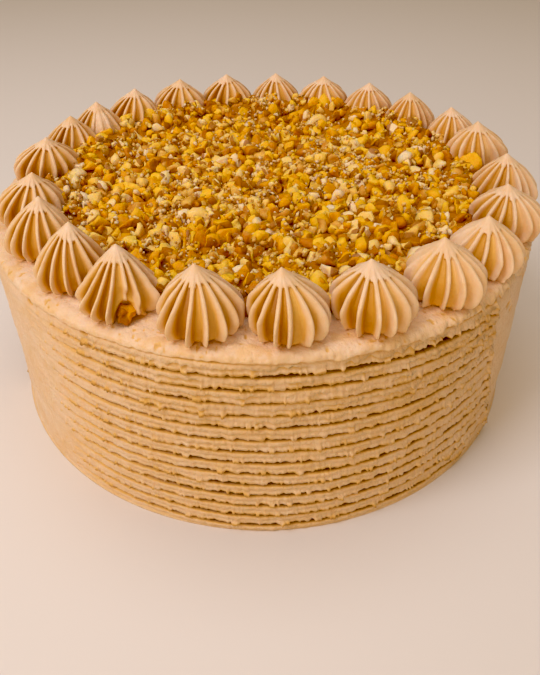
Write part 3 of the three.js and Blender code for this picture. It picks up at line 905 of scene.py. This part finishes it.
turn, reach, height, wall = heap_core()
core_radius = np.concatenate([reach[::-1], wall])
core_height = np.concatenate([height[::-1], np.full_like(wall, CAKE_HEIGHT - 0.1)])
core_angle = np.broadcast_to(turn, core_radius.shape)
core = turned_piece("walnut_core", core_angle, core_radius, core_height, {})

heap_random = np.random.default_rng(7)
heap_top = HeightMap()
core_east, core_north = core_radius * np.cos(core_angle), core_radius * np.sin(core_angle)
heap_top.add(np.stack([core_east, core_north, core_height], -1))

# Kinds of chopped walnut, the lowest first: how many, sizes in mm, faces, knife cuts, roughness,
# and how far each piece sinks into what is under it, as a share of its size
CHOPPED = {
    "walnut_bed": dict(count=1600, low=5.4, high=9.5, detail=2, cuts=7, rough=0.12, sink=0.35),
    "walnut_chunks": dict(count=150, low=8.0, high=13.5, detail=3, cuts=8, rough=0.12, sink=0.35),
    "walnut_pieces": dict(count=750, low=3.6, high=7.0, detail=2, cuts=6, rough=0.13, sink=0.28),
    "walnut_crumbs": dict(count=2600, low=0.9, high=2.6, detail=1, cuts=3, rough=0.25, sink=0.15),
}


# How far the middle of a very small piece may lie over the heap's height
HIGHEST_OVER = 2.4


def heap_layer(name, count, low, high, detail, cuts, rough, sink):
    """One kind of chopped walnut, each piece laid on what is there already under its middle, but no
    higher than the heap. Of more places than pieces, the ones in denser patches are taken."""
    sizes = low + (high - low) * heap_random.uniform(size=count) ** 1.4
    points, faces, skin = chopped(heap_random, sizes, detail, cuts, rough)
    spare = 3 if high < 3 else 1
    place = spread_places(heap_random, spare * count, 2.0)
    heap_random.shuffle(place)
    patch = noise(np.pad(place, ((0, 0), (0, 1))), 13.0, 44) + heap_random.uniform(-0.6, 0.6, len(place))
    place = place[np.argsort(-patch)[:count]]
    heap_random.shuffle(place)
    ground = heap_top.at(place) - sink * sizes - points[..., 2].min(axis=1)
    ceiling = CAKE_HEIGHT + heap_height(place) + HIGHEST_OVER - 0.45 * sizes
    points[..., :2] += place[:, None, :]
    points[..., 2] += np.minimum(ground, ceiling)[:, None]
    heap_top.add(points)
    tone = np.repeat(heap_random.uniform(size=count), points.shape[1])
    return scattered(name, points, faces, {"tone": tone, "skin": skin})


heap_pieces = [core]
for name, kind in CHOPPED.items():
    heap_pieces.append(heap_layer(name, **kind))


def walnut(name, stops, skin_colour, skin_from):
    """Walnut flesh whose tone varies from piece to piece, with skin on part of each piece."""
    finish = Finish(name)
    grain = finish.texture("ShaderNodeTexNoise", 700.0, Detail=4.0)
    blotch = finish.texture("ShaderNodeTexNoise", 160.0, Detail=2.0)
    tone = finish.attribute("tone") + (blotch - 0.5) * 0.5
    flesh = finish.ramp(tone, stops)
    skin = finish.attribute("skin")
    bark = finish.node("ShaderNodeMapRange", {"interpolation_type": "SMOOTHSTEP"},
                       {"Value": skin, "From Min": skin_from, "From Max": skin_from + 0.06})
    colour = finish.mix(bark * 0.85, flesh, skin_colour)
    return finish.surface(
        Base_Color=colour,
        Roughness=0.45 + grain * 0.3,
        Normal=finish.bump(grain + blotch, 0.0005),
        Subsurface_Weight=0.3,
        Subsurface_Radius=(1.0, 0.6, 0.1),
        Subsurface_Scale=0.003,
        Specular_IOR_Level=0.2,
    )


FLESH = [(0.0, (0.88, 0.66, 0.38)), (0.1, (0.88, 0.60, 0.20)), (0.3, (0.88, 0.51, 0.035)),
         (0.55, (0.80, 0.39, 0.014)), (0.82, (0.52, 0.18, 0.007)), (1.0, (0.80, 0.48, 0.10))]
DUST = [(0.0, (0.82, 0.62, 0.39)), (0.3, (0.80, 0.51, 0.17)), (0.7, (0.64, 0.31, 0.03)),
        (1.0, (0.82, 0.61, 0.35))]
PACKED = [(0.0, (0.42, 0.15, 0.003)), (1.0, (0.66, 0.30, 0.006))]
SKIN = rgb(0.34, 0.11, 0.005)

chunk_finish = walnut("walnut_chopped", FLESH, SKIN, 0.22)
crumb_finish = walnut("walnut_crumb", DUST, SKIN, 0.30)
core_finish = walnut("walnut_packed", PACKED, SKIN, 0.5)
heap_finishes = (core_finish, chunk_finish, chunk_finish, chunk_finish, crumb_finish)
for piece, finish in zip(heap_pieces, heap_finishes):
    piece.data.materials.append(finish)
    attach(piece, "root")
    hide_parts("walnut_topping")


# Stray walnut
# One chopped piece fell on the rim before the piping, and the rosette's foot closed round it.

STRAY_TONE = 0.64
STRAY_SKIN = 0.13

stray_low, stray_high = (np.array(corner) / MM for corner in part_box("stray_walnut"))
stray_random = np.random.default_rng(3)
points, faces, skin = chopped(stray_random, [1.0], 5, 10, 0.15)
points = points[0]
span = points.max(axis=0) - points.min(axis=0)
points = (points - points.min(axis=0)) / span * (stray_high - stray_low) + stray_low
stray_values = {"tone": np.full(len(points), STRAY_TONE), "skin": skin[0] + STRAY_SKIN}
stray = scattered("stray_piece", points[None], faces, stray_values)
stray.data.materials.append(chunk_finish)
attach(stray, "root")
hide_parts("stray_walnut")


# Studio
# A plain pale floor under soft light from the upper left, and the camera at the place that a fit to
# the cake's circles gave.

floor_mesh = bpy.data.meshes.new("floor")
floor_mesh.from_pydata([(-3, -3, 0), (3, -3, 0), (3, 3, 0), (-3, 3, 0)], [], [(0, 1, 2, 3)])
floor = bpy.data.objects.new("floor", floor_mesh)
bpy.context.scene.collection.objects.link(floor)
floor_finish = Finish("pale_floor")
floor.data.materials.append(floor_finish.surface(Base_Color=rgb(0.76, 0.69, 0.60), Roughness=0.6))


def set_place(thing, x, y, z, place):
    """Turns an object to three axes and puts it at a place."""
    matrix = np.eye(4)
    matrix[:3] = np.stack([x, y, z, place], -1)
    thing.matrix_world = Matrix(matrix)


def area_light(name, place, target, size, power, colour):
    """A square lamp at a place, turned to face a target."""
    lamp = bpy.data.lights.new(name, "AREA")
    lamp.size = size
    lamp.energy = power
    lamp.color = colour
    holder = bpy.data.objects.new(name, lamp)
    bpy.context.scene.collection.objects.link(holder)
    way = np.array(target, dtype=float) - np.array(place, dtype=float)
    z = -way / np.linalg.norm(way)
    x = np.cross([0, 0, 1], z)
    x /= np.linalg.norm(x)
    set_place(holder, x, np.cross(z, x), z, place)


area_light("window", (-0.66, -0.42, 1.1), (0, 0, 0.07), 0.5, 7.8, (1.0, 0.99, 1.16))
area_light("ceiling", (0.0, 0.1, 1.3), (0, 0, 0.07), 0.9, 4.6, (1.0, 1.01, 1.18))
area_light("fill", (-0.25, -1.2, 0.45), (0, 0, 0.05), 0.8, 3.9, (1.0, 0.77, 0.46))

# The darkest tone that is shown as black, which deepens the colour of the folds
DEEPEST = 0.02
world = bpy.data.worlds.new("soft_room")
bpy.context.scene.world = world
world.use_nodes = True
room_light = world.node_tree.nodes["Background"].inputs
room_light["Color"].default_value = rgb(1.0, 0.77, 0.48)
room_light["Strength"].default_value = 0.34
look = bpy.context.scene.view_settings
look.view_transform = "Standard"
look.use_curve_mapping = True
look.curve_mapping.black_level = (DEEPEST, DEEPEST, DEEPEST)
look.curve_mapping.update()

# The camera, which looks down at the cake from the front: lengths in metres
FOCAL_PIXELS = 601.48
IMAGE_HEIGHT = 675
ELEVATION = math.radians(39.91)
DISTANCE = 0.3325
PAN = 0.0095
ROLL = math.radians(-0.2794)
AIM = np.array([0.0, 0.0, -0.00367])

right = np.array([1.0, 0.0, 0.0])
up = np.array([0.0, math.sin(ELEVATION), math.cos(ELEVATION)])
forward = np.array([0.0, math.cos(ELEVATION), -math.sin(ELEVATION)])
panned_right = right * math.cos(PAN) - forward * math.sin(PAN)
panned_forward = right * math.sin(PAN) + forward * math.cos(PAN)
camera_right = panned_right * math.cos(ROLL) + up * math.sin(ROLL)
camera_up = up * math.cos(ROLL) - panned_right * math.sin(ROLL)
camera_place = AIM - forward * DISTANCE

lens = bpy.data.cameras.new("camera")
lens.sensor_width = 36.0
lens.lens = FOCAL_PIXELS * lens.sensor_width / IMAGE_HEIGHT
lens.clip_start = 0.01
camera = bpy.data.objects.new("camera", lens)
bpy.context.scene.collection.objects.link(camera)
set_place(camera, camera_right, camera_up, -panned_forward, camera_place)
bpy.context.scene.camera = camera
